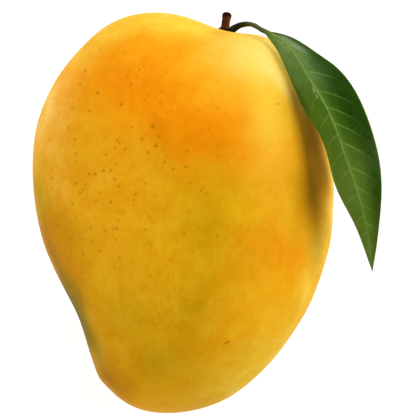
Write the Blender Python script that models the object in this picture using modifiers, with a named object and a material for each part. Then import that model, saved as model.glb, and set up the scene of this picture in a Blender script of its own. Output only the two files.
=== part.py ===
"""A ripe mango lying on its flat cheek, with the stub of its stalk and one leaf.

The fruit's broad side faces up. +Y runs towards the stalk end, +Z is up, and the origin is on
the small flat spot that the fruit rests on, below the middle of its outline. Units are metres.
"""

import math

import bmesh
import bpy
import numpy as np
from mathutils import Vector

# Fruit: distance from its middle to its edge in the level plane through stalk and beak,
# every 15 degrees anticlockwise from +X.
EDGE_RADII = (
    0.0447, 0.0460, 0.0490, 0.0537, 0.0567, 0.0559,
    0.0583, 0.0607, 0.0583, 0.0545, 0.0505, 0.0465,
    0.0438, 0.0424, 0.0420, 0.0442, 0.0526, 0.0596,
    0.0594, 0.0563, 0.0516, 0.0480, 0.0455, 0.0446,
)
CORE_HALF_LENGTH = 0.0595
CORE_HALF_WIDTH = 0.0445
CORE_TILT = math.radians(102)
CHEEK_HALF_THICKNESS = 0.0350
SHOULDER_FULLNESS = 0.06
REST_CUT = 0.0006

BEAK_ANGLE = math.radians(243)
BEAK_HEIGHT = 0.0006
BEAK_SPREAD = math.radians(3.2)

STALK_ANGLE = math.radians(77.3)
HOLLOW_DEPTH = 0.0011
HOLLOW_SPREAD = math.radians(6.5)

FRUIT_SEGMENTS = 72
FRUIT_RINGS = 40
RING_CROWDING = 0.35

# Stalk stub: it stands square to the skin in its socket, then bends towards +Y. Its waist and
# cut end are offsets from the middle of the socket's mouth, and its profile gives the radius at
# shares of its length.
STUB_ROOT_DEPTH = 0.0015
STUB_COLLAR_HEIGHT = 0.0009
STUB_WAIST = (0.0003, 0.0023, 0.0)
STUB_CUT_END = (0.0005, 0.0057, 0.0)
STUB_PROFILE = (
    (0.00, 0.0012), (0.25, 0.0012), (0.29, 0.0018), (0.33, 0.0019), (0.39, 0.0016),
    (0.47, 0.00132), (0.64, 0.00115), (0.84, 0.00125), (0.94, 0.0012), (0.985, 0.0009),
    (1.00, 0.0005),
)
SOCKET_RADIUS = 0.0016
SOCKET_DEPTH = 0.0020

# Leaf: the line that the leaf stalk and the midrib follow, from the stub to the tip.
STALK_LINE = (
    (0.0151, 0.0542, 0.0348), (0.0163, 0.0553, 0.0354), (0.0178, 0.0560, 0.0366),
    (0.0199, 0.0562, 0.0388), (0.0231, 0.0536, 0.0440),
)
MIDRIB_LINE = (
    (0.0231, 0.0536, 0.0440), (0.0303, 0.0490, 0.0505), (0.0354, 0.0410, 0.0550),
    (0.0418, 0.0295, 0.0595), (0.0460, 0.0182, 0.0620), (0.0500, 0.0065, 0.0625),
    (0.0530, -0.0047, 0.0595), (0.0550, -0.0173, 0.0525),
)
# Level half widths of the blade's two sides: the heights of the sine waves that add up to each,
# the first with one arch from base to tip, the second with two, and so on.
OUTER_WIDTH_WAVES = (0.0095, 0.0003, -0.0005, -0.0001, -0.0004, -0.0002)
FRUIT_SIDE_WIDTH_WAVES = (0.0057, 0.0005, 0.0008, 0.0003, -0.0002, 0.0002, 0.0003)
LEAST_HALF_WIDTH = 0.0005
CREASE_RADIUS = 0.0032
FRUIT_SIDE_FOLD = math.radians(60)
OUTER_FOLD = math.radians(13)
OUTER_BASE_FOLD = math.radians(36)
OUTER_BASE_SPREAD = 0.13
RIPPLE_HEIGHT = 0.0005
RIPPLES = 4.5
BLADE_THICKNESS = 0.0007
BLADE_STEPS = 56
BLADE_COLUMNS = 14

PULVINUS_RADIUS = 0.00100
PETIOLE_RADIUS = 0.00068
MIDRIB_TIP_RADIUS = 0.00030
MIDRIB_SINK = 0.00035
RIB_POINTS = 60


def clear_scene():
    for obj in list(bpy.data.objects):
        bpy.data.objects.remove(obj, do_unlink=True)


def new_collection(name):
    collection = bpy.data.collections.new(name)
    bpy.context.scene.collection.children.link(collection)
    return collection


def new_material(name, colour, roughness):
    material = bpy.data.materials.new(name)
    material.use_nodes = True
    shader = material.node_tree.nodes["Principled BSDF"]
    shader.inputs["Base Color"].default_value = (*colour, 1.0)
    shader.inputs["Roughness"].default_value = roughness
    shader.inputs["Metallic"].default_value = 0.0
    return material


def add_object(name, data, collection, material):
    obj = bpy.data.objects.new(name, data)
    collection.objects.link(obj)
    data.materials.append(material)
    return obj


def shade_round(mesh, sharp_angle=math.radians(50)):
    mesh.shade_smooth()
    mesh.set_sharp_from_angle(angle=sharp_angle)


def periodic(values, angle):
    """The smooth closed curve through values spaced evenly round the circle."""
    count = len(values)
    waves = np.fft.rfft(values) / count
    total = np.full(np.shape(angle), waves[0].real)
    for order in range(1, count // 2):
        total = total + 2 * np.real(waves[order] * np.exp(1j * order * angle))
    return total + np.real(waves[-1] * np.exp(1j * (count // 2) * angle))


def turn_between(angle, centre):
    """The angle from centre, between -pi and pi."""
    return (angle - centre + math.pi) % (2 * math.pi) - math.pi


def bump(offset, spread):
    return np.exp(-((offset / spread) ** 2))


def spline_through(points, shares):
    """Points at the given shares of the length of a natural cubic spline through points."""
    points = np.array(points, float)
    steps = np.linalg.norm(np.diff(points, axis=0), axis=1)
    knots = np.concatenate([[0.0], np.cumsum(steps)])
    count = len(points)
    system = np.eye(count)
    slopes = np.zeros_like(points)
    for i in range(1, count - 1):
        system[i, i - 1: i + 2] = steps[i - 1], 2 * (steps[i - 1] + steps[i]), steps[i]
        ahead = (points[i + 1] - points[i]) / steps[i]
        behind = (points[i] - points[i - 1]) / steps[i - 1]
        slopes[i] = 6 * (ahead - behind)
    bends = np.linalg.solve(system, slopes)
    at = np.asarray(shares) * knots[-1]
    k = np.clip(np.searchsorted(knots, at, side="right") - 1, 0, count - 2)
    width = steps[k][:, None]
    a = (knots[k + 1] - at)[:, None] / width
    b = 1 - a
    straight = a * points[k] + b * points[k + 1]
    curved = ((a**3 - a) * bends[k] + (b**3 - b) * bends[k + 1]) * width**2 / 6
    return straight + curved


def edge_radius(angle):
    """The outline's radius, with the small beak beside the narrow end."""
    beak = BEAK_HEIGHT * bump(turn_between(angle, BEAK_ANGLE), BEAK_SPREAD)
    return periodic(EDGE_RADII, angle) + beak


def core_radius(angle):
    """The radius of the plain ellipse that the cheeks follow."""
    along = np.cos(angle - CORE_TILT) / CORE_HALF_LENGTH
    across = np.sin(angle - CORE_TILT) / CORE_HALF_WIDTH
    return 1 / np.sqrt(along**2 + across**2)


def fruit_surface(directions):
    """Maps directions on the unit sphere to the fruit's skin.

    Level slices change from an ellipse at the cheeks to the true outline at the edge, and the
    shoulders are a little thicker than the narrow end. A shallow hollow surrounds the stalk.
    """
    x, y, z = directions.T
    angle = np.arctan2(y, x)
    level = np.hypot(x, y)
    core = core_radius(angle)
    radius = core + (edge_radius(angle) - core) * level**2
    towards_stalk = x * math.cos(CORE_TILT) + y * math.sin(CORE_TILT)
    height = CHEEK_HALF_THICKNESS * (1 + SHOULDER_FULLNESS * towards_stalk * (1 - level**2 / 2))
    stalk = np.array([math.cos(STALK_ANGLE), math.sin(STALK_ANGLE), 0.0])
    off_stalk = np.arccos(np.clip(directions @ stalk, -1, 1))
    inset = 1 - HOLLOW_DEPTH / edge_radius(STALK_ANGLE) * bump(off_stalk, HOLLOW_SPREAD)
    skin = np.stack([radius * x, radius * y, height * z], axis=1) * inset[:, None]
    return skin + [0.0, 0.0, CHEEK_HALF_THICKNESS - REST_CUT]


def sphere_directions(points):
    """Crowds a unit sphere's rings towards +Z, then turns that pole to the stalk."""
    polar = np.arccos(np.clip(points[:, 2], -1, 1))
    crowded = polar - RING_CROWDING * np.sin(polar)
    around = np.arctan2(points[:, 1], points[:, 0])
    ring = np.sin(crowded)
    turned = np.stack([ring * np.cos(around), ring * np.sin(around), np.cos(crowded)], axis=1)
    stalk = Vector((math.cos(STALK_ANGLE), math.sin(STALK_ANGLE), 0.0))
    turn = np.array(stalk.to_track_quat("Z", "Y").to_matrix())
    return turned @ turn.T


def stub_base():
    """The middle of the socket's mouth, and the skin's outward normal there."""
    turns = STALK_ANGLE + np.array([0.0, -0.01, 0.01])
    level = np.stack([np.cos(turns), np.sin(turns), np.zeros(3)], axis=1)
    base, before, after = fruit_surface(level)
    outward = np.cross(after - before, [0.0, 0.0, 1.0])
    return base, outward / np.linalg.norm(outward)


def add_socket_cutter(collection):
    base, outward = stub_base()
    outward = Vector(outward)
    reach = 0.004
    bpy.ops.mesh.primitive_cylinder_add(
        vertices=16,
        radius=SOCKET_RADIUS,
        depth=SOCKET_DEPTH + reach,
        location=Vector(base) + outward * (reach - SOCKET_DEPTH) / 2,
        rotation=outward.to_track_quat("Z", "Y").to_euler(),
    )
    cutter = bpy.context.object
    cutter.name = "stub_socket_cutter"
    for other in list(cutter.users_collection):
        other.objects.unlink(cutter)
    collection.objects.link(cutter)
    cutter.hide_render = True
    cutter.display_type = "WIRE"
    return cutter


def add_fruit(collection, cutters):
    bm = bmesh.new()
    bmesh.ops.create_uvsphere(
        bm, u_segments=FRUIT_SEGMENTS, v_segments=FRUIT_RINGS, radius=1.0
    )
    points = np.array([vert.co[:] for vert in bm.verts])
    for vert, place in zip(bm.verts, fruit_surface(sphere_directions(points))):
        vert.co = place
    cut = bmesh.ops.bisect_plane(
        bm,
        geom=bm.verts[:] + bm.edges[:] + bm.faces[:],
        dist=1e-7,
        plane_co=(0.0, 0.0, 0.0),
        plane_no=(0.0, 0.0, -1.0),
        clear_outer=True,
    )
    rim = [item for item in cut["geom_cut"] if isinstance(item, bmesh.types.BMEdge)]
    bmesh.ops.contextual_create(bm, geom=rim)
    bmesh.ops.recalc_face_normals(bm, faces=bm.faces[:])
    mesh = bpy.data.meshes.new("fruit")
    bm.to_mesh(mesh)
    bm.free()
    fruit = add_object("fruit", mesh, collection, new_material("mango_skin", (0.84, 0.37, 0.015), 0.42))
    socket = fruit.modifiers.new("stub_socket", "BOOLEAN")
    socket.operation = "DIFFERENCE"
    socket.solver = "EXACT"
    socket.object = add_socket_cutter(cutters)
    shade_round(mesh)
    return fruit


def tube_curve(name, points, radii, sides_level):
    """A round tube along points, with its radius given at each, and flat caps."""
    curve = bpy.data.curves.new(name, "CURVE")
    curve.dimensions = "3D"
    curve.bevel_depth = 1.0
    curve.bevel_resolution = sides_level
    curve.use_fill_caps = True
    spline = curve.splines.new("POLY")
    spline.points.add(len(points) - 1)
    for node, place, radius in zip(spline.points, points, radii):
        node.co = (*place, 1.0)
        node.radius = radius
    return curve


def add_stem(collection):
    base, outward = stub_base()
    line = (
        base - outward * STUB_ROOT_DEPTH,
        base + outward * STUB_COLLAR_HEIGHT,
        base + STUB_WAIST,
        base + STUB_CUT_END,
    )
    shares, radii = zip(*STUB_PROFILE)
    points = spline_through(line, shares)
    curve = tube_curve("stem", points, radii, 3)
    return add_object("stem", curve, collection, new_material("brown_stalk", (0.09, 0.033, 0.008), 0.7))


def midrib_frame(shares):
    """Places on the midrib with the level direction towards the fruit and the leaf's normal."""
    places = spline_through(MIDRIB_LINE, shares)
    near = 1e-3
    ahead = spline_through(MIDRIB_LINE, np.minimum(shares + near, 1.0))
    behind = spline_through(MIDRIB_LINE, np.maximum(shares - near, 0.0))
    along = ahead - behind
    along /= np.linalg.norm(along, axis=1)[:, None]
    to_fruit = np.cross(along, [0.0, 0.0, 1.0])
    to_fruit /= np.linalg.norm(to_fruit, axis=1)[:, None]
    return places, to_fruit, np.cross(to_fruit, along)


def wave_sum(heights, share):
    """The sum of sine waves along the blade, each zero at its base and tip."""
    return sum(
        height * np.sin((order + 1) * math.pi * share) for order, height in enumerate(heights)
    )


def blade_surface(share, across):
    """The blade's upper face: share runs from base to tip, across from -1, outer, to 1, fruit side.

    Each side slopes down from the rounded crease over the midrib at its own fold angle, and a
    small ripple grows towards the edges.
    """
    places, to_fruit, normal = midrib_frame(share)
    fruit_side = across > 0
    half = np.where(
        fruit_side,
        wave_sum(FRUIT_SIDE_WIDTH_WAVES, share),
        wave_sum(OUTER_WIDTH_WAVES, share),
    )
    out = np.maximum(half, LEAST_HALF_WIDTH) * np.abs(across)
    arch = np.clip(np.sin(math.pi * share**0.75), 0.0, 1.0)
    near_fold = FRUIT_SIDE_FOLD * arch**0.7
    far_fold = OUTER_FOLD + OUTER_BASE_FOLD * bump(share, OUTER_BASE_SPREAD)
    slope = np.tan(np.where(fruit_side, near_fold, far_fold))
    drop = slope * (np.hypot(out, CREASE_RADIUS) - CREASE_RADIUS)
    phase = RIPPLES * share + np.where(fruit_side, 0.35, 0.0)
    ripple = RIPPLE_HEIGHT * arch * across**2 * np.sin(2 * math.pi * phase)
    level = out * np.sign(across)
    return places + to_fruit * level[:, None] - normal * (drop - ripple)[:, None]


def add_blade(collection, material):
    bm = bmesh.new()
    bmesh.ops.create_grid(bm, x_segments=BLADE_STEPS, y_segments=BLADE_COLUMNS, size=0.5)
    flat = np.array([vert.co[:] for vert in bm.verts])
    for vert, place in zip(bm.verts, blade_surface(flat[:, 0] + 0.5, flat[:, 1] * -2)):
        vert.co = place
    bmesh.ops.triangulate(bm, faces=bm.faces[:])
    mesh = bpy.data.meshes.new("leaf")
    bm.to_mesh(mesh)
    bm.free()
    blade = add_object("leaf", mesh, collection, material)
    thicken = blade.modifiers.new("thickness", "SOLIDIFY")
    thicken.thickness = BLADE_THICKNESS
    thicken.offset = -1.0
    return blade


def rib_line():
    """The petiole and midrib as one line with its radius, sunk into the blade's underside."""
    petiole = spline_through(STALK_LINE, np.linspace(0, 1, RIB_POINTS // 4, endpoint=False))
    shares = np.linspace(0, 0.985, RIB_POINTS - len(petiole))
    places, _, normal = midrib_frame(shares)
    sink = MIDRIB_SINK * np.minimum(shares / 0.06, 1.0)
    midrib = places - normal * sink[:, None]
    swollen = bump(np.linspace(0, 1, len(petiole)), 0.35)
    petiole_radii = PETIOLE_RADIUS + (PULVINUS_RADIUS - PETIOLE_RADIUS) * swollen
    midrib_radii = PETIOLE_RADIUS + (MIDRIB_TIP_RADIUS - PETIOLE_RADIUS) * shares**0.8
    return np.vstack([petiole, midrib]), np.concatenate([petiole_radii, midrib_radii])


def mesh_from_curve(name, curve, collection):
    source = bpy.data.objects.new(name + "_line", curve)
    collection.objects.link(source)
    bpy.context.view_layer.update()
    graph = bpy.context.evaluated_depsgraph_get()
    mesh = bpy.data.meshes.new_from_object(source.evaluated_get(graph))
    bm = bmesh.new()
    bm.from_mesh(mesh)
    bmesh.ops.remove_doubles(bm, verts=bm.verts[:], dist=1e-6)
    bmesh.ops.recalc_face_normals(bm, faces=bm.faces[:])
    bm.to_mesh(mesh)
    bm.free()
    made = bpy.data.objects.new(name, mesh)
    made.matrix_world = source.matrix_world
    bpy.data.objects.remove(source, do_unlink=True)
    collection.objects.link(made)
    return made


def add_leaf(collection, cutters):
    material = new_material("mango_leaf", (0.045, 0.10, 0.008), 0.4)
    leaf = add_blade(collection, material)
    line, radii = rib_line()
    rib = mesh_from_curve("leaf_rib_helper", tube_curve("leaf_rib", line, radii, 2), cutters)
    rib.hide_render = True
    rib.display_type = "WIRE"
    join = leaf.modifiers.new("petiole_and_midrib", "BOOLEAN")
    join.operation = "UNION"
    join.solver = "EXACT"
    join.object = rib
    shade_round(leaf.data)
    return leaf


def main():
    clear_scene()
    parts = new_collection("mango")
    cutters = new_collection("cutters")
    add_fruit(parts, cutters)
    add_stem(parts)
    add_leaf(parts, cutters)


main()
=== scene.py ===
"""Looks of a ripe mango lying on its flat cheek, with a stub of stalk and one leaf.

Everything is in metres in the frame of the solids: +Z up, +Y towards the stalk end, the origin on
the flat spot that the fruit rests on. The shapes follow the formulas of the solids, worked out
finely, with the skin's relief, the leaf's veins and the bark added. The shoulder under the leaf,
the leaf's base, stalk, widths and thickness and the stub's cut end differ from the solids by up
to 1.2 mm.
"""

import math

import bpy
import numpy as np
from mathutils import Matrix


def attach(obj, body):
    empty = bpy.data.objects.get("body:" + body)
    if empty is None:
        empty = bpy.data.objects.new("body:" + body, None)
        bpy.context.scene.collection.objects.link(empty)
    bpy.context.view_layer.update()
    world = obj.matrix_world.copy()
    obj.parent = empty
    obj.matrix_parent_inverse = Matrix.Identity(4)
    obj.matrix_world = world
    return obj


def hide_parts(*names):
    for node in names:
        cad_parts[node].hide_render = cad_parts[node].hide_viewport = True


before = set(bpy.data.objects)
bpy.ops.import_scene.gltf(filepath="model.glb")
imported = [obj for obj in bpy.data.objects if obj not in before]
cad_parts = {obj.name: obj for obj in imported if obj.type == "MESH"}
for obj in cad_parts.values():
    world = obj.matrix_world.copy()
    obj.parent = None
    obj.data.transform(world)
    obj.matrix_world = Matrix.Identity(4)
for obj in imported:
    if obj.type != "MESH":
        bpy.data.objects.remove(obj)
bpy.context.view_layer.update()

MM = 0.001

# Fruit: distance from its middle to its edge in the level plane through stalk and beak,
# every 15 degrees anticlockwise from +X.
EDGE_RADII = (
    0.0447, 0.0460, 0.0490, 0.0537, 0.0567, 0.0559,
    0.0583, 0.0607, 0.0583, 0.0545, 0.0505, 0.0465,
    0.0438, 0.0424, 0.0420, 0.0442, 0.0526, 0.0596,
    0.0594, 0.0563, 0.0516, 0.0480, 0.0455, 0.0446,
)
CORE_HALF_LENGTH = 0.0595
CORE_HALF_WIDTH = 0.0445
CORE_TILT = math.radians(102)
CHEEK_HALF_THICKNESS = 0.0350
SHOULDER_FULLNESS = 0.06
REST_CUT = 0.0006
MEDIAN_HEIGHT = CHEEK_HALF_THICKNESS - REST_CUT

BEAK_ANGLE = math.radians(243)
BEAK_HEIGHT = 0.0006
BEAK_SPREAD = math.radians(3.2)

# The shoulder under the leaf's base, slightly fuller than in the solids.
SHOULDER_ANGLE = math.radians(65)
SHOULDER_HEIGHT = 0.0011
SHOULDER_SPREAD = math.radians(8)

STALK_ANGLE = math.radians(77.3)
STALK_WAY = (math.cos(STALK_ANGLE), math.sin(STALK_ANGLE), 0.0)
HOLLOW_DEPTH = 0.0011
HOLLOW_SPREAD = math.radians(6.5)

# The skin's mesh, its low swells, and how far it lies inside the solid so that they fit in.
SKIN_ROWS = 250
SKIN_COLUMNS = 360
SKIN_INSET = 0.00015
SKIN_SWELLS = 0.00012

# Stalk stub: how deep its root goes and how high its collar stands, then its waist and cut end as
# offsets from the middle of its foot.
STUB_ROOT_DEPTH = 0.0015
STUB_COLLAR_HEIGHT = 0.0006
STUB_WAIST = (0.0004, 0.0023, 0.0)
STUB_CUT_END = (0.0010, 0.0059, 0.0)
STUB_RADIUS = 0.00120
STUB_FLARE = 0.0011
STUB_END_SWELL = 0.00020
BARK_RELIEF = 0.00004

# Leaf: the lines of its stalk and midrib, then the level half widths of its two sides as heights
# of the sine waves that add up to them.
STALK_LINE = (
    (0.0137, 0.0540, 0.0345), (0.0146, 0.0544, 0.0346), (0.0162, 0.0553, 0.0354),
    (0.0177, 0.0557, 0.0366), (0.0198, 0.0556, 0.0388), (0.0231, 0.0536, 0.0433),
)
MIDRIB_LINE = (
    (0.0231, 0.0536, 0.0433), (0.0303, 0.0490, 0.0493), (0.0354, 0.0410, 0.0540),
    (0.0418, 0.0295, 0.0595), (0.0460, 0.0182, 0.0620), (0.0500, 0.0065, 0.0625),
    (0.0530, -0.0047, 0.0595), (0.0550, -0.0173, 0.0525),
)
OUTER_WIDTH_WAVES = (0.0097, 0.0006, -0.0005, -0.0001, -0.0004, -0.0002)
FRUIT_SIDE_WIDTH_WAVES = (0.0059, 0.0005, 0.0008, 0.0003, -0.0002, 0.0002, 0.0003)
LEAF_LENGTH = 0.086
CREASE_RADIUS = 0.0032
FRUIT_SIDE_FOLD = math.radians(60)
OUTER_FOLD = math.radians(13)
OUTER_BASE_FOLD = math.radians(36)
OUTER_BASE_SPREAD = 0.13
RIPPLE_HEIGHT = 0.0005
RIPPLES = 4.5
BLADE_THICKNESS = 0.00045
LEAST_HALF_WIDTH = 0.00012
BLADE_ROWS = 430
BLADE_COLUMNS = 84

PULVINUS_RADIUS = 0.00110
PETIOLE_RADIUS = 0.00070
MIDRIB_TIP_RADIUS = 0.00020

# Side veins: how many leave the midrib on each side, and the slant of each side's veins, as the
# way they gain towards the tip for each step outwards.
VEINS = 14
OUTER_VEIN_SLANT = 0.95
FRUIT_SIDE_VEIN_SLANT = 0.42
VEIN_THICKNESS = 0.00013
VEIN_DEPTH = 0.00005
LAMINA_SWELL = 0.00008

# Camera, straight above the cheek, at the photograph's scale on the median plane.
CAMERA_PLACE = (0.00787, 0.00074, 0.8344)
CAMERA_LENS = 230.9
TABLE_HALF_WIDTH = 2.0

# Softboxes: name, turn from +X and angle of height in degrees, width and height in metres, and
# power in watts.
SOFTBOX_DISTANCE = 0.9
SOFTBOXES = (
    ("key_softbox", 22, 32, 0.42, 0.38, 5.7),
    ("far_softbox", 112, 26, 0.50, 0.30, 3.7),
    ("left_softbox", 205, 34, 0.60, 0.40, 3.0),
    ("low_softbox", 292, 20, 0.50, 0.30, 0.75),
)

# Colours of the skin, as display values between 0 and 255.
GOLD = (230, 169, 22)
AMBER_YELLOW = (244, 172, 28)
BRIGHT_GOLD = (254, 185, 28)
ORANGE = (249, 155, 10)
DEEP_ORANGE = (239, 139, 4)
BURNT_ORANGE = (226, 126, 0)
PEACH = (242, 182, 74)
YELLOW = (250, 208, 66)
# Used only for painted light: a highlight, a lit rim and a reflecting rim.
PAINTED_LIGHT_YELLOW = (246, 217, 112)
PAINTED_LIGHT_CREAM = (254, 236, 160)
OLIVE_GOLD = (212, 160, 10)
OLIVE = (190, 152, 0)
TAN = (206, 142, 8)
RUST = (208, 130, 0)
UMBER = (156, 98, 0)
# Darker olive skin together with painted shade.
DARK_OLIVE_AND_SHADE = (104, 96, 0)
# Painted shadow of the leaf on the fruit, a lighter and a darker tone.
PAINTED_LEAF_SHADOW = (156, 108, 0)
PAINTED_DEEP_LEAF_SHADOW = (104, 68, 0)
LEMON_GOLD = (240, 184, 24)

# Patches on the upper cheek: colour, middle x and y, reach along and across in millimetres, the
# turn of the long reach from +X in degrees, and how strongly the colour covers what lies below.
PATCHES = (
    (AMBER_YELLOW, -22, 8, 22, 16, 80, 0.8),
    (PEACH, -38.5, 29, 14, 5.5, 68, 0.9),
    (PEACH, -37, 9, 10, 5, 90, 0.35),
    (BRIGHT_GOLD, -21, -14, 19, 7, 100, 0.85),
    (ORANGE, -12, 45, 20, 8, 12, 0.8),
    (ORANGE, -8, 34, 26, 13, -12, 0.95),
    (ORANGE, 12, 24, 18, 11, -30, 0.9),
    (DEEP_ORANGE, -14, 39, 12, 6, -25, 0.6),
    (DEEP_ORANGE, 6, 25, 16, 8, -25, 0.7),
    (BURNT_ORANGE, -6, 24, 6, 4, -50, 0.55),
    (BURNT_ORANGE, 4, 18, 8, 4, -10, 0.6),
    (OLIVE_GOLD, 8, 12, 8, 4, -15, 0.4),
    (TAN, -3, 15, 13, 6, -15, 0.3),
    (DEEP_ORANGE, 3, 17, 9, 5, -10, 0.7),
    (YELLOW, -22, 51, 14, 3.4, 30, 0.7),
    (YELLOW, 0, 56, 17, 5, -10, 0.7),
    (YELLOW, 14, 40, 14, 5, -20, 0.35),
    (YELLOW, 28, 38, 12, 7, -60, 0.75),
    # Painted highlight on the upper right shoulder.
    (PAINTED_LIGHT_YELLOW, 22, 44, 12, 9, -18, 0.85),
    (AMBER_YELLOW, 14, 35, 14, 6, -15, 0.85),
    # Painted light over the thin shadow that the leaf's base casts on the shoulder.
    (PAINTED_LIGHT_CREAM, 27.5, 39.5, 10, 1.7, -55, 0.45),
    (YELLOW, 25, 20, 20, 5, 92, 0.8),
    (AMBER_YELLOW, 24, 3, 11, 6, 90, 0.8),
    (BRIGHT_GOLD, 14, -36, 12, 6, 60, 0.6),
    (OLIVE_GOLD, 6, -4, 17, 9, 70, 0.8),
    (OLIVE, 8, -4, 7, 4, 60, 0.5),
    (LEMON_GOLD, -8, -26, 26, 17, 75, 0.7),
    (OLIVE, 2, -29, 9, 4, 70, 0.35),
    (OLIVE, -17, -28, 8, 6, 0, 0.35),
    (OLIVE, -10, -43, 10, 4, 0, 0.45),
    (TAN, -35, -4, 9, 4, -75, 0.7),
    (RUST, -34, -14, 12, 4, -68, 0.75),
    (TAN, -22, -37, 10, 4, -72, 0.75),
    (RUST, -20, -48, 9, 5, -50, 0.75),
    (BRIGHT_GOLD, -12, -14, 16, 8, 100, 0.4),
    (BRIGHT_GOLD, -18, -40, 8, 4, -50, 0.5),
    (BRIGHT_GOLD, -5, -54, 14, 8, 5, 0.4),
    (ORANGE, 29, -12, 11, 6, -35, 0.9),
    (ORANGE, 24, -19, 7, 5, 0, 0.75),
    (ORANGE, 25, 16, 7, 5, 0, 0.4),
    (AMBER_YELLOW, -19, 45, 5, 4, 0, 0.5),
    (PEACH, -26, -42, 5, 3.5, -50, 0.4),
    (DEEP_ORANGE, 26, -12, 9, 5, -20, 0.5),
    (BRIGHT_GOLD, -4, -12, 5, 4, 0, 0.3),
    (PEACH, -36, 31, 12, 5, 62, 0.45),
    (GOLD, 3, -48, 7, 5, 20, 0.6),
    (LEMON_GOLD, 18, -1, 8, 5, -20, 0.6),
    # Painted shade around the foot of the stub.
    (TAN, 11.5, 52.5, 3.5, 2.0, -10, 0.6),
    (BRIGHT_GOLD, 24, -27, 17, 10, 60, 0.9),
    (YELLOW, 38, -18, 16, 4, 75, 0.7),
    (YELLOW, 20, -47, 20, 7, 42, 0.85),
    # Painted shadow of the leaf on the right flank, darkest along the leaf's edge.
    (PAINTED_LEAF_SHADOW, 36.0, 12, 20, 4.6, 94, 0.55),
    (PAINTED_LEAF_SHADOW, 39.6, 12, 15, 2.8, 90, 1.0),
    (PAINTED_DEEP_LEAF_SHADOW, 37.4, 22, 11, 3.2, -68, 0.8),
    (PAINTED_DEEP_LEAF_SHADOW, 36.7, 28.0, 8, 1.4, -68, 0.7),
)

# Patches on the rim, laid on last in the same terms, that fade out down the flank under the rim.
RIM_PATCHES = (
    # Painted light on the right rim, beside the leaf's shadow.
    (PAINTED_LIGHT_YELLOW, 43.8, 4, 14, 1.7, 91, 0.8),
    # Painted reflection: a paler rim at the upper left.
    (PAINTED_LIGHT_YELLOW, -40.5, 31.5, 9, 2.0, 72, 0.5),
    (OLIVE, -43, 3, 12, 4.5, 94, 0.8),
    # Greener skin and painted shade fading out around the dark lower left rim.
    (OLIVE, -31.5, -28, 22, 5.0, -68, 0.5),
    (UMBER, -38.5, -11, 10, 2.6, -72, 0.5),
    (UMBER, -21.5, -50, 9, 2.6, -48, 0.5),
    # The dark lower left rim: partly olive skin, partly painted shade where the rim turns from the
    # light.
    (DARK_OLIVE_AND_SHADE, -31.4, -29, 14, 3.0, -68, 0.95),
)

# The largest spots, at places measured on the photograph and rounded: x and y on the upper cheek
# and radius, in millimetres.
LARGE_SPOTS = (
    (-17.5, 31, 0.48), (-8.5, 24.5, 0.52), (-7.5, 19, 0.52), (-11.5, 21, 0.42), (-24.5, 34.5, 0.40),
    (-25, 11, 0.46), (-22.5, 12, 0.42), (-20.5, 12, 0.44), (1, 13, 0.48), (-20.5, 3, 0.40),
)
# The small spots lie at random in an oval: how many, its middle and reach and the least distance
# between two spots in millimetres, and their smallest and largest radius.
SMALL_SPOTS = 52
SPOT_OVAL_MIDDLE = (-14, 14)
SPOT_OVAL_REACH = (15, 17)
SPOT_SPACING = 1.7
SMALL_SPOT_RADII = (0.27, 0.40)
SPOT_SEED = 5
# Spots are measured with the height cut to this share, so that they stay round on the slopes,
# from places stirred by up to half of this, so that they are not quite round.
SPOT_FLATTENING = 0.2
SPOT_STIR = 0.0007

# Two longer marks, at places measured and rounded likewise: x and y on the upper cheek, reach
# along and across in millimetres, turn in degrees, and faintness.
MARKS = (
    (12.5, -37.5, 1.10, 0.28, 23, 0.1),
    (27.5, 31.5, 0.95, 0.30, 4, 0.4),
)


def paint(red, green, blue):
    """A linear colour from display values between 0 and 255."""
    shown = np.array([red, green, blue]) / 255
    return np.where(shown <= 0.04045, shown / 12.92, ((shown + 0.055) / 1.055) ** 2.4)


def periodic(values, angle):
    """The smooth closed curve through values spaced evenly round the circle."""
    count = len(values)
    waves = np.fft.rfft(values) / count
    total = np.full(np.shape(angle), waves[0].real)
    for order in range(1, count // 2):
        total = total + 2 * np.real(waves[order] * np.exp(1j * order * angle))
    return total + np.real(waves[-1] * np.exp(1j * (count // 2) * angle))


def turn_between(angle, centre):
    """The angle from centre, between -pi and pi."""
    return (angle - centre + math.pi) % (2 * math.pi) - math.pi


def bump(offset, spread):
    """A bell of height 1, falling to 1/e at one spread from its middle."""
    return np.exp(-((offset / spread) ** 2))


def soft_oval(x, y, middle, reach):
    """A smooth oval, 1 at its middle, falling to 1/e at one reach along either axis."""
    return np.exp(-(((x - middle[0]) / reach[0]) ** 2) - ((y - middle[1]) / reach[1]) ** 2)


def smooth_step(low, high, value):
    """A soft rise from 0 at low to 1 at high."""
    t = np.clip((value - low) / (high - low), 0.0, 1.0)
    return t * t * (3 - 2 * t)


def unit(vectors):
    return vectors / np.linalg.norm(vectors, axis=-1, keepdims=True)


def cloud(places, size, seed, waves=28):
    """A smooth random field of about -1 to 1: plane waves of random heading, about size long."""
    rng = np.random.default_rng(seed)
    headings = unit(rng.normal(size=(waves, 3)))
    lengths = size * rng.uniform(0.7, 1.6, waves)
    phases = rng.uniform(0, 2 * math.pi, waves)
    angles = places @ (headings * (2 * math.pi / lengths)[:, None]).T + phases
    return np.sin(angles).sum(axis=-1) / math.sqrt(waves / 2) / 1.6


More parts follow.
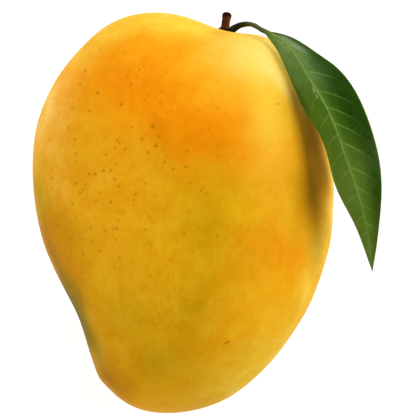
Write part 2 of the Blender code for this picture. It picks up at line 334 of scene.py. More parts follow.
def spline_through(points, shares):
    """Points at the given shares of the length of a natural cubic spline through points."""
    points = np.array(points, float)
    steps = np.linalg.norm(np.diff(points, axis=0), axis=1)
    knots = np.concatenate([[0.0], np.cumsum(steps)])
    count = len(points)
    system = np.eye(count)
    slopes = np.zeros_like(points)
    for i in range(1, count - 1):
        system[i, i - 1: i + 2] = steps[i - 1], 2 * (steps[i - 1] + steps[i]), steps[i]
        ahead = (points[i + 1] - points[i]) / steps[i]
        behind = (points[i] - points[i - 1]) / steps[i - 1]
        slopes[i] = 6 * (ahead - behind)
    bends = np.linalg.solve(system, slopes)
    at = np.asarray(shares) * knots[-1]
    k = np.clip(np.searchsorted(knots, at, side="right") - 1, 0, count - 2)
    width = steps[k][..., None]
    a = (knots[k + 1] - at)[..., None] / width
    b = 1 - a
    straight = a * points[k] + b * points[k + 1]
    curved = ((a**3 - a) * bends[k] + (b**3 - b) * bends[k + 1]) * width**2 / 6
    return straight + curved


def enclosed_volume(vertices, triangles):
    """The volume inside closed triangles, negative where they face inwards."""
    first, second, third = np.moveaxis(vertices[triangles], 1, 0)
    return np.sum(first * np.cross(second, third)) / 6


def closed_loft(name, rings):
    """A closed mesh of rings, rows by columns by xyz: quads between rings and a fan at each end,
    all turned to face outwards."""
    rows, columns, _ = rings.shape
    poles = np.stack([rings[0].mean(axis=0), rings[-1].mean(axis=0)])
    vertices = np.concatenate([rings.reshape(-1, 3), poles])
    here = np.arange(rows * columns).reshape(rows, columns)
    beside = np.roll(here, -1, axis=1)
    quads = np.stack([here[:-1], beside[:-1], beside[1:], here[1:]], axis=-1).reshape(-1, 4)
    first = np.stack([beside[0], here[0], np.full(columns, rows * columns)], axis=-1)
    last = np.stack([here[-1], beside[-1], np.full(columns, rows * columns + 1)], axis=-1)
    corners = np.concatenate([quads.ravel(), first.ravel(), last.ravel()])
    sizes = np.concatenate([np.full(len(quads), 4), np.full(2 * columns, 3)])
    mesh = bpy.data.meshes.new(name)
    mesh.vertices.add(len(vertices))
    mesh.vertices.foreach_set("co", vertices.ravel())
    mesh.loops.add(len(corners))
    mesh.loops.foreach_set("vertex_index", corners)
    mesh.polygons.add(len(sizes))
    mesh.polygons.foreach_set("loop_start", np.cumsum(sizes) - sizes)
    mesh.update(calc_edges=True)
    mesh.shade_smooth()
    triangles = np.concatenate([quads[:, [0, 1, 2]], quads[:, [0, 2, 3]], first, last])
    if enclosed_volume(vertices, triangles) < 0:
        mesh.flip_normals()
    return mesh


def with_poles(values):
    """Values on rings, followed by the mean of the first ring and of the last."""
    return np.concatenate([values.reshape(-1, *values.shape[2:]), values[[0, -1]].mean(axis=1)])


def keep_number(mesh, name, values):
    layer = mesh.attributes.new(name, "FLOAT", "POINT")
    layer.data.foreach_set("value", with_poles(values).astype(np.float32))


def keep_colour(mesh, name, colours):
    layer = mesh.attributes.new(name, "FLOAT_COLOR", "POINT")
    opaque = np.concatenate([colours, np.ones((*colours.shape[:-1], 1))], axis=-1)
    layer.data.foreach_set("color", with_poles(opaque).astype(np.float32).ravel())


def add_piece(mesh, material, node):
    """Puts a finished mesh in the scene in place of a node of the solids."""
    piece = bpy.data.objects.new(mesh.name, mesh)
    bpy.context.scene.collection.objects.link(piece)
    mesh.materials.append(material)
    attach(piece, "root")
    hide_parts(node)


class Finish:
    """A material under construction: its nodes are added by short calls that return sockets."""

    def __init__(self, name, **sockets):
        self.material = bpy.data.materials.new(name)
        self.material.use_nodes = True
        self.nodes = self.material.node_tree.nodes
        self.links = self.material.node_tree.links
        self.shader = self.nodes["Principled BSDF"]
        for socket, value in sockets.items():
            self.shader.inputs[socket.replace("_", " ")].default_value = value
        self.place = self.nodes.new("ShaderNodeTexCoord").outputs["Object"]

    def put(self, node, socket, value):
        target = node.inputs[socket]
        if isinstance(value, bpy.types.NodeSocket):
            self.links.new(value, target)
        else:
            target.default_value = value

    def noise(self, scale, detail=3.0, roughness=0.55, stretch=None, distortion=0.0):
        node = self.nodes.new("ShaderNodeTexNoise")
        place = self.place
        if stretch is not None:
            mapping = self.nodes.new("ShaderNodeMapping")
            self.links.new(place, mapping.inputs["Vector"])
            mapping.inputs["Scale"].default_value = stretch
            place = mapping.outputs["Vector"]
        self.links.new(place, node.inputs["Vector"])
        node.inputs["Scale"].default_value = scale
        node.inputs["Detail"].default_value = detail
        node.inputs["Roughness"].default_value = roughness
        node.inputs["Distortion"].default_value = distortion
        return node.outputs["Fac"]

    def cells(self, scale, feature="F1"):
        node = self.nodes.new("ShaderNodeTexVoronoi")
        node.feature = feature
        self.links.new(self.place, node.inputs["Vector"])
        node.inputs["Scale"].default_value = scale
        return node

    def attribute(self, name, output="Fac"):
        node = self.nodes.new("ShaderNodeAttribute")
        node.attribute_name = name
        return node.outputs[output]

    def math(self, operation, first, second=0.0, third=0.0):
        node = self.nodes.new("ShaderNodeMath")
        node.operation = operation
        self.put(node, 0, first)
        self.put(node, 1, second)
        self.put(node, 2, third)
        return node.outputs[0]

    def spread(self, value, low, high, start=0.0, end=1.0):
        """Maps low..high softly to start..end."""
        node = self.nodes.new("ShaderNodeMapRange")
        node.interpolation_type = "SMOOTHSTEP"
        self.put(node, "Value", value)
        self.put(node, "From Min", low)
        self.put(node, "From Max", high)
        self.put(node, "To Min", start)
        self.put(node, "To Max", end)
        return node.outputs["Result"]

    def mix(self, share, first, second, blend="MIX"):
        node = self.nodes.new("ShaderNodeMix")
        node.data_type = "RGBA"
        node.blend_type = blend
        self.put(node, 0, share)
        self.put(node, 6, first)
        self.put(node, 7, second)
        return node.outputs[2]

    def bump(self, height, distance, strength=1.0, below=None):
        node = self.nodes.new("ShaderNodeBump")
        node.inputs["Distance"].default_value = distance
        node.inputs["Strength"].default_value = strength
        self.put(node, "Height", height)
        if below is not None:
            self.links.new(below, node.inputs["Normal"])
        return node.outputs["Normal"]

    def finish(self, colour, roughness, normal=None):
        self.put(self.shader, "Base Color", colour)
        self.put(self.shader, "Roughness", roughness)
        if normal is not None:
            self.links.new(normal, self.shader.inputs["Normal"])
        return self.material


def tint(red, green, blue):
    """A colour with its alpha, for a node's socket."""
    return (*paint(red, green, blue), 1.0)


def fruit_edge(angle):
    """The outline's radius, with the small beak beside the narrow end and the fuller shoulder."""
    beak = BEAK_HEIGHT * bump(turn_between(angle, BEAK_ANGLE), BEAK_SPREAD)
    shoulder = SHOULDER_HEIGHT * bump(turn_between(angle, SHOULDER_ANGLE), SHOULDER_SPREAD)
    return periodic(EDGE_RADII, angle) + beak + shoulder


def fruit_surface(directions):
    """Maps unit directions to the skin: level slices change from the core's ellipse at the cheeks
    to the true outline at the edge, and a shallow hollow surrounds the stalk."""
    x, y, z = np.moveaxis(directions, -1, 0)
    angle = np.arctan2(y, x)
    level = np.hypot(x, y)
    along = np.cos(angle - CORE_TILT) / CORE_HALF_LENGTH
    across = np.sin(angle - CORE_TILT) / CORE_HALF_WIDTH
    core = 1 / np.sqrt(along**2 + across**2)
    radius = core + (fruit_edge(angle) - core) * level**2
    towards_stalk = x * math.cos(CORE_TILT) + y * math.sin(CORE_TILT)
    height = CHEEK_HALF_THICKNESS * (1 + SHOULDER_FULLNESS * towards_stalk * (1 - level**2 / 2))
    off_stalk = np.arccos(np.clip(directions @ np.array(STALK_WAY), -1, 1))
    inset = 1 - HOLLOW_DEPTH / fruit_edge(STALK_ANGLE) * bump(off_stalk, HOLLOW_SPREAD)
    skin = np.stack([radius * x, radius * y, height * z], axis=-1) * inset[..., None]
    return skin + [0.0, 0.0, MEDIAN_HEIGHT]


def place_on_cheek(x, y):
    """The place of the upper cheek over a level point, found by turning a direction from the
    fruit's middle towards it a little in each of twenty steps."""
    aim = np.array([x / CORE_HALF_WIDTH, y / CORE_HALF_LENGTH]) * 0.9
    for _ in range(20):
        rise = math.sqrt(max(1e-6, 1 - float(aim @ aim)))
        place = fruit_surface(np.array([*aim, rise]))
        aim = aim + 0.6 * (np.array([x, y]) - place[:2]) / CORE_HALF_LENGTH
    return place


def skin_directions(rows, columns):
    """A grid of unit directions round the stalk's axis, its rings crowded towards the stalk."""
    polar = np.linspace(0, math.pi, rows + 2)[1:-1]
    crowded = (polar - 0.35 * np.sin(polar))[:, None]
    around = np.linspace(0, 2 * math.pi, columns, endpoint=False)[None, :]
    stalk = np.array(STALK_WAY)
    side = np.array([-math.sin(STALK_ANGLE), math.cos(STALK_ANGLE), 0.0])
    up = np.array([0.0, 0.0, 1.0])
    ring = np.cos(around)[..., None] * up + np.sin(around)[..., None] * side
    return np.cos(crowded)[..., None] * stalk + np.sin(crowded)[..., None] * ring


def weathered_colours(places):
    """What shows away from the patches: gold, with clouds of yellow and of burnt orange, blushed
    orange over the shoulders and greener towards the beak."""
    y = places[..., 1] / MM
    colours = np.broadcast_to(paint(*GOLD), (*places.shape[:-1], 3)).copy()
    for colour, share in (
        (YELLOW, 0.75 * smooth_step(-0.2, 1.0, cloud(places, 0.045, 21))),
        (ORANGE, 0.9 * smooth_step(-22, 42, y + 24 * cloud(places, 0.040, 22))),
        (OLIVE_GOLD, 0.7 * smooth_step(12, -48, y + 26 * cloud(places, 0.036, 23))),
        (BURNT_ORANGE, 0.5 * smooth_step(0.5, 1.3, cloud(places, 0.028, 24))),
    ):
        colours += (paint(*colour) - colours) * share[..., None]
    return colours


def skin_colours(places):
    """The skin's broad colours: soft oval patches on the upper cheek, their edges moved about by
    clouds, over the colours that show on the sides and the underside. Some patches are painted
    light and shade: the leaf's shadow, shade round the stub, a highlight, light over the leaf
    base's shadow, a lit rim and a reflecting rim; the dark lower left rim is partly painted shade."""
    wander = np.stack([cloud(places, 0.018, 11), cloud(places, 0.018, 12)], axis=-1) * 1.1
    x = places[..., 0] / MM + wander[..., 0]
    y = places[..., 1] / MM + wander[..., 1]
    upper = smooth_step(-0.016, 0.002, places[..., 2] - MEDIAN_HEIGHT)
    rim = smooth_step(-0.016, 0.001, places[..., 2] - MEDIAN_HEIGHT)
    colours = weathered_colours(places)
    colours += (paint(*GOLD) - colours) * upper[..., None]
    for patch, mask in [(p, upper) for p in PATCHES] + [(p, rim) for p in RIM_PATCHES]:
        colour, middle_x, middle_y, along, across, turn, cover = patch
        turn = math.radians(turn)
        far = (x - middle_x) * math.cos(turn) + (y - middle_y) * math.sin(turn)
        wide = (y - middle_y) * math.cos(turn) - (x - middle_x) * math.sin(turn)
        share = cover * mask * soft_oval(far, wide, (0, 0), (along, across))
        colours += (paint(*colour) - colours) * share[..., None]
    return colours


def add_fruit():
    """The skin: the fruit's surface with slight swells, cut level where it rests."""
    places = fruit_surface(skin_directions(SKIN_ROWS, SKIN_COLUMNS))
    middle = np.array([0.0, 0.0, MEDIAN_HEIGHT])
    outward = unit((places - middle) / [0.045**2, 0.058**2, 0.035**2])
    swell = SKIN_SWELLS * cloud(places, 0.017, 3) - SKIN_INSET
    places = places + outward * swell[..., None]
    places[..., 2] = np.maximum(places[..., 2], 0.0)
    places = places[:, ::-1]
    mesh = closed_loft("fruit_skin", places)
    keep_colour(mesh, "skin_colour", skin_colours(places))
    x, y, z = np.moveaxis(places / MM, -1, 0)
    upper = smooth_step(20, 45, z)
    keep_number(mesh, "lenticels", soft_oval(x, y, (-20, 12), (30, 34)) * upper)
    keep_number(mesh, "streaks", soft_oval(x, y, (-2, -22), (26, 26)))
    keep_number(mesh, "mottling", 1 - 0.8 * soft_oval(x, y, (21, 40), (17, 24)) * upper)
    add_piece(mesh, skin_finish(), "fruit")


def spread_spots():
    """The large spots, then small ones that thin out away from the middle of their oval."""
    rng = np.random.default_rng(SPOT_SEED)
    spots = list(LARGE_SPOTS)
    while len(spots) < len(LARGE_SPOTS) + SMALL_SPOTS:
        x, y = SPOT_OVAL_MIDDLE + SPOT_OVAL_REACH * np.clip(rng.normal(size=2), -1.6, 1.6)
        if min(math.hypot(x - spot[0], y - spot[1]) for spot in spots) > SPOT_SPACING:
            spots.append((x, y, rng.uniform(*SMALL_SPOT_RADII)))
    return spots


def flattened_place(skin):
    """Object places stirred a little by a fine noise, with their height flattened."""
    stir = skin.nodes.new("ShaderNodeTexNoise")
    skin.links.new(skin.place, stir.inputs["Vector"])
    stir.inputs["Scale"].default_value = 1300.0
    moved = skin.nodes.new("ShaderNodeVectorMath")
    moved.operation = "MULTIPLY_ADD"
    skin.links.new(stir.outputs["Color"], moved.inputs[0])
    moved.inputs[1].default_value = (SPOT_STIR, SPOT_STIR, 0.0)
    skin.links.new(skin.place, moved.inputs[2])
    flat = skin.nodes.new("ShaderNodeVectorMath")
    flat.operation = "MULTIPLY_ADD"
    skin.links.new(moved.outputs[0], flat.inputs[0])
    flat.inputs[1].default_value = (1.0, 1.0, SPOT_FLATTENING)
    flat.inputs[2].default_value = (-SPOT_STIR / 2, -SPOT_STIR / 2, 0.0)
    return flat.outputs[0]


def flattened_spot(x, y):
    """The flattened place of a spot on the upper cheek, from its x and y in millimetres."""
    return place_on_cheek(x * MM, y * MM) * [1.0, 1.0, SPOT_FLATTENING]


def near_spots(skin, flattened):
    """How far each place is from the nearest spot or mark, in reaches of that spot: 0 at its
    middle, 1 at its edge, with a part added for the smaller, fainter ones."""
    nearest = 9.0
    for x, y, radius in spread_spots():
        faint = 1.2 * max(0.0, 0.5 - radius)
        node = skin.nodes.new("ShaderNodeVectorMath")
        node.operation = "DISTANCE"
        skin.links.new(flattened, node.inputs[0])
        node.inputs[1].default_value = flattened_spot(x, y)
        nearness = skin.math("MULTIPLY_ADD", node.outputs["Value"], 1 / (radius * MM), faint)
        nearest = skin.math("MINIMUM", nearness, nearest)
    for x, y, along, across, turn, faint in MARKS:
        local = skin.nodes.new("ShaderNodeMapping")
        local.vector_type = "TEXTURE"
        skin.links.new(flattened, local.inputs["Vector"])
        local.inputs["Location"].default_value = flattened_spot(x, y)
        local.inputs["Rotation"].default_value = (0.0, 0.0, math.radians(turn))
        local.inputs["Scale"].default_value = (along * MM, across * MM, MM)
        length = skin.nodes.new("ShaderNodeVectorMath")
        length.operation = "LENGTH"
        skin.links.new(local.outputs["Vector"], length.inputs[0])
        nearness = skin.math("ADD", length.outputs["Value"], faint)
        nearest = skin.math("MINIMUM", nearness, nearest)
    return nearest


def skin_finish():
    """Waxy skin: broad patches from the mesh, with mottling, faint fibres, pores, lenticels,
    spots and marks."""
    skin = Finish("mango_skin", Specular_IOR_Level=0.02)
    skin.shader.inputs["Specular Tint"].default_value = (1.0, 0.85, 0.45, 1.0)
    broad = skin.noise(120.0, 3.0, 0.6, distortion=0.3)
    blotches = skin.noise(280.0, 3.0, 0.6, distortion=0.3)
    fine = skin.noise(700.0, 4.0, 0.65)
    fibres = skin.noise(1.0, 3.0, 0.6, stretch=(900.0, 170.0, 900.0))
    colour = skin.attribute("skin_colour", "Color")
    deeper = skin.mix(1.0, colour, (0.98, 0.91, 0.58, 1.0), "MULTIPLY")
    paler = skin.mix(1.0, colour, (1.02, 1.06, 1.3, 1.0), "MULTIPLY")
    mottled = skin.mix(skin.spread(broad, 0.34, 0.66), deeper, paler)
    ruddy = skin.mix(1.0, mottled, (0.98, 0.94, 0.72, 1.0), "MULTIPLY")
    mottled = skin.mix(skin.spread(blotches, 0.34, 0.62), ruddy, mottled)
    colour = skin.mix(skin.attribute("mottling"), colour, mottled)
    soft = skin.mix(1.0, colour, (0.97, 0.95, 0.85, 1.0), "MULTIPLY")
    colour = skin.mix(skin.spread(fine, 0.35, 0.62), soft, colour)
    olive = skin.mix(1.0, colour, (0.90, 0.95, 0.6, 1.0), "MULTIPLY")
    fibre_share = skin.math("MULTIPLY", skin.spread(fibres, 0.48, 0.66), skin.attribute("streaks"))
    colour = skin.mix(fibre_share, colour, olive)
    pores = skin.cells(330.0).outputs["Distance"]
    ripe = skin.attribute("lenticels")
    halo = skin.spread(pores, 0.10, 0.36, 1.0, 0.0)
    halo = skin.math("MULTIPLY", halo, skin.math("MULTIPLY", ripe, 0.16))
    colour = skin.mix(halo, colour, tint(150, 92, 4))
    dot = skin.spread(pores, 0.05, 0.12, 1.0, 0.0)
    dot = skin.math("MULTIPLY", dot, skin.math("MULTIPLY", ripe, 0.75))
    colour = skin.mix(dot, colour, tint(118, 74, 4))
    nearest = near_spots(skin, flattened_place(skin))
    colour = skin.mix(skin.spread(nearest, 2.0, 0.3, 0.0, 0.32), colour, tint(170, 98, 0))
    colour = skin.mix(skin.spread(nearest, 1.2, 0.2, 0.0, 0.45), colour, tint(136, 60, 0))
    peel = skin.noise(1500.0, 2.0, 0.5)
    normal = skin.bump(peel, 0.00006, 0.4)
    normal = skin.bump(fine, 0.00012, 0.3, below=normal)
    roughness = skin.spread(fine, 0.2, 0.8, 0.45, 0.58)
    return skin.finish(colour, roughness, normal)


def tube(name, line, radii, columns, relief):
    """A round tube along a line: rings square to it, radius given at each point, with a relief in
    metres added to the radius, given by ring and column."""
    along = unit(np.gradient(line, axis=0))
    side = unit(np.cross(along, [0.0, 0.0, 1.0]))
    top = np.cross(side, along)
    around = np.linspace(0, 2 * math.pi, columns, endpoint=False)
    reach = np.repeat(radii[:, None], columns, axis=1) + relief
    spokes = np.cos(around)[:, None] * side[:, None] + np.sin(around)[:, None] * top[:, None]
    rings = line[:, None] + spokes * reach[..., None]
    return closed_loft(name, rings), rings


def stub_base():
    """The middle of the stub's foot on the skin, and the skin's outward normal there."""
    turns = STALK_ANGLE + np.array([0.0, -0.01, 0.01])
    level = np.stack([np.cos(turns), np.sin(turns), np.zeros(3)], axis=1)
    base, before, after = fruit_surface(level)
    return base, unit(np.cross(after - before, [0.0, 0.0, 1.0]))


def add_stem():
    """The stub: a bark-covered cylinder that flares at its foot and rounds off at its cut end."""
    base, outward = stub_base()
    line_points = (
        base - outward * STUB_ROOT_DEPTH,
        base + outward * STUB_COLLAR_HEIGHT,
        base + STUB_WAIST,
        base + STUB_CUT_END,
    )
    shares = 1 - (1 - np.linspace(0, 1, 120)) ** 1.15
    line = spline_through(line_points, shares)
    foot = STUB_FLARE * bump(shares - 0.24, 0.10)
    body = STUB_RADIUS + STUB_END_SWELL * bump(shares - 0.88, 0.13)
    cap = np.sqrt(np.clip(1 - ((shares - 0.86) / 0.14).clip(0) ** 2, 0.0, 1.0))
    radii = (body + foot) * (0.12 + 0.88 * cap)
    columns = 64
    around = np.linspace(0, 2 * math.pi, columns, endpoint=False)[None, :]
    grooves = np.sin(9 * around + 5 * shares[:, None]) + 0.6 * np.sin(17 * around - 9 * shares[:, None])
    knots = np.sin(34 * shares[:, None] + 1.5 * np.sin(around)) * 0.5
    relief = BARK_RELIEF * (grooves + knots) * np.minimum(radii / STUB_RADIUS, 1.0)[:, None]
    mesh, rings = tube("stalk_stub", line, radii, columns, relief)
    keep_number(mesh, "height", np.repeat(shares[:, None], columns, axis=1))
    # How far the bark faces +X, where it gets painted light.
    keep_number(mesh, "lit_side", unit(rings - line[:, None])[..., 0])
    add_piece(mesh, bark_finish(), "stem")


def bark_finish():
    """Dry brown bark, streaked along the stub, with painted light making it more orange-brown on
    the side towards the leaf, blackish at the foot and on the cut end."""
    bark = Finish("stalk_bark", Specular_IOR_Level=0.06)
    grain = bark.noise(1.0, 4.0, 0.65, stretch=(2600.0, 700.0, 2600.0))
    height = bark.attribute("height")
    colour = bark.mix(bark.spread(grain, 0.3, 0.7), tint(34, 15, 4), tint(92, 50, 12))
    # Painted light: the bark's +X side, towards the key lamp and the leaf, more orange-brown.
    lit_side_share = bark.math("MULTIPLY", bark.spread(bark.attribute("lit_side"), -0.2, 0.8), 0.45)
    colour = bark.mix(lit_side_share, colour, tint(128, 68, 20))
    dark_end = bark.spread(height, 0.78, 0.90)
    dark_foot = bark.spread(height, 0.42, 0.28)
    colour = bark.mix(bark.math("MAXIMUM", dark_end, dark_foot), colour, tint(22, 10, 5))
    normal = bark.bump(grain, 0.00012, 0.6)
    return bark.finish(colour, bark.spread(grain, 0.3, 0.7, 0.62, 0.8), normal)


def midrib_frame(shares):
    """Places on the midrib with the level direction towards the fruit and the leaf's normal."""
    places = spline_through(MIDRIB_LINE, shares)
    near = 1e-3
    ahead = spline_through(MIDRIB_LINE, np.minimum(shares + near, 1.0))
    behind = spline_through(MIDRIB_LINE, np.maximum(shares - near, 0.0))
    along = unit(ahead - behind)
    to_fruit = unit(np.cross(along, [0.0, 0.0, 1.0]))
    return places, to_fruit, np.cross(to_fruit, along)


def wave_sum(heights, share):
    """The sum of sine waves along the blade, each zero at its base and tip."""
    return sum(
        height * np.sin((order + 1) * math.pi * share) for order, height in enumerate(heights)
    )


def blade_widths(share, across):
    """Level distance out from the midrib, and the half width of that side there."""
    half = np.where(
        across > 0,
        wave_sum(FRUIT_SIDE_WIDTH_WAVES, share),
        wave_sum(OUTER_WIDTH_WAVES, share),
    )
    half = np.maximum(half, LEAST_HALF_WIDTH)
    return half * np.abs(across), half


def vein_lines(share, across):
    """How close each place of the blade is to a side vein, 0 to 1, and the lamina's swell between.

    Veins leave the midrib at even steps with a little wander, gain towards the tip in proportion
    to their way out, bend further forward near the margin, and thin out before they reach it.
    """
    out, half = blade_widths(share, across)
    fruit_side = across > 0
    slant = np.where(fruit_side, FRUIT_SIDE_VEIN_SLANT, OUTER_VEIN_SLANT)
    edge = out / half
    gain = (slant * out + 0.35 * half * edge**4) / LEAF_LENGTH
    start = share - gain
    wander = 0.14 * np.sin(2 * math.pi * (3.3 * start + np.where(fruit_side, 0.2, 0.6)))
    count = VEINS * start + wander + np.where(fruit_side, 0.15, 0.55)
    off = np.abs(count - np.round(count)) * LEAF_LENGTH / VEINS / np.hypot(1.0, slant)
    thickness = VEIN_THICKNESS * (1.35 - 0.75 * edge)
    line = bump(off, thickness) * (1 - smooth_step(0.72, 0.98, edge))
    swell = np.cos(2 * math.pi * (count - 0.5)) * 0.5 + 0.5
    inside = smooth_step(0.02, 0.10, share) * (1 - smooth_step(0.90, 0.98, share))
    return line * inside, swell * inside * edge * (1 - edge) * 4


def blade_surface(share, across, depth):
    """The blade at a depth below its upper face: share runs from base to tip, across from -1,
    outer, to 1, fruit side. Each side slopes down from the rounded crease over the midrib, its
    margin ripples, the lamina swells between side veins, and the veins are sunk a hair."""
    places, to_fruit, normal = midrib_frame(share)
    out, _ = blade_widths(share, across)
    arch = np.clip(np.sin(math.pi * share**0.75), 0.0, 1.0)
    near_fold = FRUIT_SIDE_FOLD * arch**0.7
    far_fold = OUTER_FOLD + OUTER_BASE_FOLD * bump(share, OUTER_BASE_SPREAD)
    slope = np.tan(np.where(across > 0, near_fold, far_fold))
    drop = slope * (np.hypot(out, CREASE_RADIUS) - CREASE_RADIUS)
    phase = RIPPLES * share + np.where(across > 0, 0.35, 0.0)
    ripple = RIPPLE_HEIGHT * arch * across**2 * np.sin(2 * math.pi * phase)
    line, swell = vein_lines(share, across)
    relief = LAMINA_SWELL * swell - VEIN_DEPTH * line
    level = out * np.sign(across)
    steep = slope * out / np.hypot(out, CREASE_RADIUS)
    down = drop - ripple - relief + depth * np.sqrt(1 + steep**2)
    return places + to_fruit * level[..., None] - normal * down[..., None]


def add_leaf_blade():
    """The blade: its upper face from the outer margin to the fruit side, then its lower face back,
    joined by thin rounded margins."""
    share = np.linspace(0.004, 0.9975, BLADE_ROWS)[:, None]
    even = np.linspace(-1, 1, BLADE_COLUMNS)
    crowded = -np.cos(np.linspace(0, math.pi, BLADE_COLUMNS))
    over = crowded * 0.35 + even * 0.65
    across = np.concatenate([over, over[::-1]])[None, :]
    depth = np.concatenate([np.zeros(BLADE_COLUMNS), np.ones(BLADE_COLUMNS)])[None, :]
    taper = np.sqrt(np.clip(1 - np.abs(across) ** 12, 0.0, 1.0)) * 0.5
    thin = BLADE_THICKNESS * np.minimum(1.0, 0.25 + 6 * np.sin(math.pi * share))
    depth = thin * (0.5 + np.where(depth > 0, taper, -taper))
    share, across, depth = np.broadcast_arrays(share, across, depth)
    rings = blade_surface(share, across, depth)
    mesh = closed_loft("leaf_blade", rings)
    line, swell = vein_lines(share, across)
    upper = depth < BLADE_THICKNESS * 0.5
    keep_number(mesh, "vein", line)
    keep_number(mesh, "across", across)
    keep_number(mesh, "along", share)
    keep_number(mesh, "underside", 1.0 - upper)
    # Painted sheen on the upper face near the base, banded between the veins.
    painted_sheen = 0.85 * soft_oval(share, across, (0.13, -0.42), (0.07, 0.25))
    painted_sheen = np.maximum(painted_sheen, 0.5 * soft_oval(share, across, (0.22, -0.18), (0.07, 0.16)))
    painted_sheen = np.maximum(painted_sheen, 0.24 * soft_oval(share, across, (0.16, 0.5), (0.12, 0.4)))
    keep_number(mesh, "painted_sheen", painted_sheen * (0.45 + 0.55 * swell))
    # Painted glints: pale flecks beside the midrib near the base.
    painted_glints = soft_oval(share, across, (0.09, 0.05), (0.05, 0.2))
    painted_glints = np.maximum(painted_glints, soft_oval(share, across, (0.33, 0.12), (0.02, 0.1)))
    keep_number(mesh, "painted_glints", painted_glints)
    add_piece(mesh, leaf_finish(), "leaf")


def leaf_finish():
    """Satin dark green: paler by the midrib and darker towards the margins, partly as painted shade of
    the arched blade; paler on the fruit side, at the base as painted sheen, and towards the tip;
    with a painted sheen near the base, pale veins and margin, a fine net between the veins, a few
    painted glints by the midrib, and a paler underside."""
    leaf = Finish("mango_leaf", Specular_IOR_Level=0.05)
    cloudy = leaf.noise(160.0, 3.0, 0.55)
    grain = leaf.noise(900.0, 3.0, 0.6)
    across = leaf.attribute("across")
    along = leaf.attribute("along")
    edge = leaf.math("ABSOLUTE", across)
    # Darker towards both margins: partly the leaf's own tone, partly painted shade where the arched
    # blade turns from the light.
    colour = leaf.mix(leaf.spread(edge, 0.0, 0.6), tint(58, 92, 12), tint(24, 56, 0))
    fruit_side = leaf.spread(across, 0.0, 0.25)
    colour = leaf.mix(fruit_side, colour, tint(76, 112, 26))
    inward = leaf.spread(across, -0.85, -0.15, 0.15, 1.0)
    # Paler near the base, strongest from the midrib to the fruit side: painted sheen.
    base = leaf.math("MULTIPLY", leaf.spread(along, 0.42, 0.08, 0.0, 0.8), inward)
    colour = leaf.mix(base, colour, tint(100, 134, 66))
    lower = leaf.math("MULTIPLY", leaf.spread(along, 0.42, 0.68, 0.0, 0.55), inward)
    colour = leaf.mix(lower, colour, tint(104, 130, 44))
    colour = leaf.mix(leaf.spread(along, 0.70, 1.0, 0.0, 0.6), colour, tint(104, 124, 34))
    # Painted sheen: pale grey green where the sheen mask lies.
    glossy = leaf.math("MULTIPLY", leaf.attribute("painted_sheen"), leaf.spread(cloudy, 0.25, 0.6, 0.45, 1.0))
    colour = leaf.mix(glossy, colour, tint(150, 168, 132))
    patchy = leaf.mix(1.0, colour, (0.85, 0.88, 0.76, 1.0), "MULTIPLY")
    colour = leaf.mix(leaf.spread(cloudy, 0.35, 0.65), patchy, colour)
    colour = leaf.mix(leaf.spread(grain, 0.35, 0.7, 0.0, 0.05), colour, tint(110, 140, 40))
    net = leaf.cells(1100.0, "DISTANCE_TO_EDGE").outputs["Distance"]
    colour = leaf.mix(leaf.spread(net, 0.0, 0.12, 0.05, 0.0), colour, tint(104, 140, 40))
    vein = leaf.math("MULTIPLY", leaf.attribute("vein"), leaf.spread(cloudy, 0.3, 0.7, 0.4, 0.95))
    vein = leaf.math("MULTIPLY", vein, inward)
    colour = leaf.mix(vein, colour, tint(124, 154, 66))
    rib = leaf.spread(edge, 0.20, 0.0)
    colour = leaf.mix(leaf.math("MULTIPLY", rib, 0.5), colour, tint(98, 132, 42))
    flecks = leaf.noise(1.0, 3.0, 0.7, stretch=(1500.0, 620.0, 1500.0))
    # Painted glints: pale flecks where the streaky noise peaks.
    glinting = leaf.math("MULTIPLY", leaf.spread(flecks, 0.47, 0.55), leaf.attribute("painted_glints"))
    colour = leaf.mix(leaf.math("MULTIPLY", glinting, 0.85), colour, tint(176, 196, 132))
    margin = leaf.spread(edge, 0.965, 0.995)
    colour = leaf.mix(leaf.math("MULTIPLY", margin, 0.7), colour, tint(140, 160, 50))
    colour = leaf.mix(leaf.attribute("underside"), colour, tint(104, 138, 58))
    normal = leaf.bump(net, 0.00005, 0.3)
    normal = leaf.bump(cloudy, 0.0004, 0.25, below=normal)
    return leaf.finish(colour, leaf.spread(grain, 0.3, 0.7, 0.36, 0.48), normal)


def add_leaf_stalk():
    """The petiole, swollen where it leaves the stub, running on as the midrib to the tip."""
    bend = np.linspace(0, 1, 90, endpoint=False)
    whole = spline_through(STALK_LINE + MIDRIB_LINE[1:3], np.linspace(0, 1, 2000))
    joint = np.argmin(np.linalg.norm(whole - np.array(STALK_LINE[-1]), axis=1))
    petiole = whole[(bend * joint).astype(int)]
    shares = np.linspace(0, 0.985, 330)
    places, _, normal = midrib_frame(shares)
    midrib_radii = MIDRIB_TIP_RADIUS + (PETIOLE_RADIUS - MIDRIB_TIP_RADIUS) * (1 - shares) ** 1.3
    sunk = midrib_radii * smooth_step(0.0, 0.10, shares) * 0.88
    midrib = places - normal * sunk[:, None]
    swollen = bump(bend, 0.34)
    petiole_radii = PETIOLE_RADIUS + (PULVINUS_RADIUS - PETIOLE_RADIUS) * swollen
    petiole_radii = petiole_radii * (0.55 + 0.45 * smooth_step(0.0, 0.06, bend))
    line = np.vstack([petiole, midrib])
    radii = np.concatenate([petiole_radii, midrib_radii])
    columns = 32
    around = np.linspace(0, 2 * math.pi, columns, endpoint=False)[None, :]
    way = np.linspace(0, 1, len(line))[:, None]
    relief = 0.03 * radii[:, None] * (np.sin(5 * around + 30 * way) + np.sin(90 * way))
    mesh, _ = tube("leaf_stalk", line, radii, columns, relief)
    age = np.concatenate([1 - bend, np.zeros(len(shares))])
    keep_number(mesh, "near_stub", np.repeat(age[:, None], columns, axis=1))
    reach = np.concatenate([np.zeros(len(bend)), shares])
    keep_number(mesh, "along", np.repeat(reach[:, None], columns, axis=1))
    add_piece(mesh, leaf_stalk_finish(), "leaf")


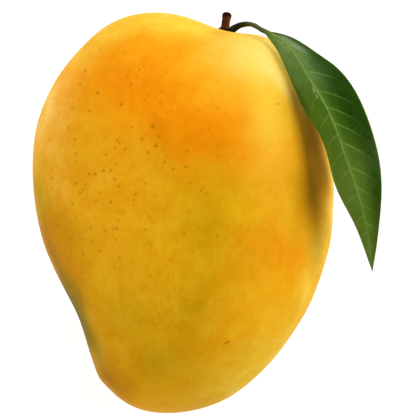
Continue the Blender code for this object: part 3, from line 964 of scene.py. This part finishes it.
def leaf_stalk_finish():
    """Blackish brown at the stub, then dull green, then the pale green of the midrib."""
    stalk = Finish("leaf_stalk", Specular_IOR_Level=0.15)
    grain = stalk.noise(1400.0, 3.0, 0.6)
    midrib = stalk.spread(stalk.attribute("along"), 0.0, 0.06)
    colour = stalk.mix(midrib, tint(66, 80, 28), tint(120, 148, 64))
    foot = stalk.spread(stalk.attribute("near_stub"), 0.30, 0.70)
    colour = stalk.mix(foot, colour, tint(16, 16, 8))
    colour = stalk.mix(stalk.spread(grain, 0.3, 0.7, 0.0, 0.35), colour, tint(60, 66, 28))
    roughness = stalk.spread(grain, 0.3, 0.7, 0.42, 0.55)
    return stalk.finish(colour, roughness, stalk.bump(grain, 0.00006, 0.4))


def add_floor():
    """A plain white table, lit from within like a product table, so shadows on it stay faint."""
    half = TABLE_HALF_WIDTH
    mesh = bpy.data.meshes.new("table")
    corners = [(-half, -half, 0), (half, -half, 0), (half, half, 0), (-half, half, 0)]
    mesh.from_pydata(corners, [], [(0, 1, 2, 3)])
    floor = bpy.data.objects.new("table", mesh)
    bpy.context.scene.collection.objects.link(floor)
    white = Finish("white_table", Roughness=0.6, Specular_IOR_Level=0.2)
    white.shader.inputs["Base Color"].default_value = (0.45, 0.45, 0.45, 1.0)
    white.shader.inputs["Emission Color"].default_value = (1.0, 1.0, 1.0, 1.0)
    white.shader.inputs["Emission Strength"].default_value = 0.75
    mesh.materials.append(white.material)


def add_softbox(name, azimuth, elevation, width, height, power):
    """A soft rectangular lamp aimed at the fruit, from a turn off +X and a height angle."""
    azimuth, elevation = math.radians(azimuth), math.radians(elevation)
    heading = np.array([
        math.cos(elevation) * math.cos(azimuth),
        math.cos(elevation) * math.sin(azimuth),
        math.sin(elevation),
    ])
    lamp = bpy.data.lights.new(name, "AREA")
    lamp.shape = "RECTANGLE"
    lamp.size = width
    lamp.size_y = height
    lamp.energy = power
    box = bpy.data.objects.new(name, lamp)
    box.location = np.array([0.0, 0.0, MEDIAN_HEIGHT]) + heading * SOFTBOX_DISTANCE
    box.rotation_euler = (math.radians(90) - elevation, 0.0, azimuth + math.radians(90))
    bpy.context.scene.collection.objects.link(box)


def add_world():
    """A white surround, a little brighter at eye level than overhead."""
    world = bpy.data.worlds.new("studio")
    bpy.context.scene.world = world
    world.use_nodes = True
    nodes, links = world.node_tree.nodes, world.node_tree.links
    ground = nodes["Background"]
    heading = nodes.new("ShaderNodeTexCoord").outputs["Generated"]
    split = nodes.new("ShaderNodeSeparateXYZ")
    links.new(heading, split.inputs[0])
    fade = nodes.new("ShaderNodeMapRange")
    fade.interpolation_type = "SMOOTHSTEP"
    fade.inputs["From Min"].default_value = 0.10
    fade.inputs["From Max"].default_value = 0.75
    fade.inputs["To Min"].default_value = 0.24
    fade.inputs["To Max"].default_value = 0.16
    links.new(split.outputs["Z"], fade.inputs["Value"])
    links.new(fade.outputs["Result"], ground.inputs["Strength"])
    ground.inputs["Color"].default_value = (1.0, 1.0, 1.0, 1.0)


def add_camera():
    lens = bpy.data.cameras.new("camera")
    lens.lens = CAMERA_LENS
    lens.sensor_width = 36.0
    lens.clip_start = 0.01
    camera = bpy.data.objects.new("camera", lens)
    camera.location = CAMERA_PLACE
    bpy.context.scene.collection.objects.link(camera)
    bpy.context.scene.camera = camera


def main():
    bpy.context.scene.view_settings.view_transform = "Standard"
    add_camera()
    add_floor()
    add_world()
    for softbox in SOFTBOXES:
        add_softbox(*softbox)
    add_fruit()
    add_stem()
    add_leaf_blade()
    add_leaf_stalk()


main()
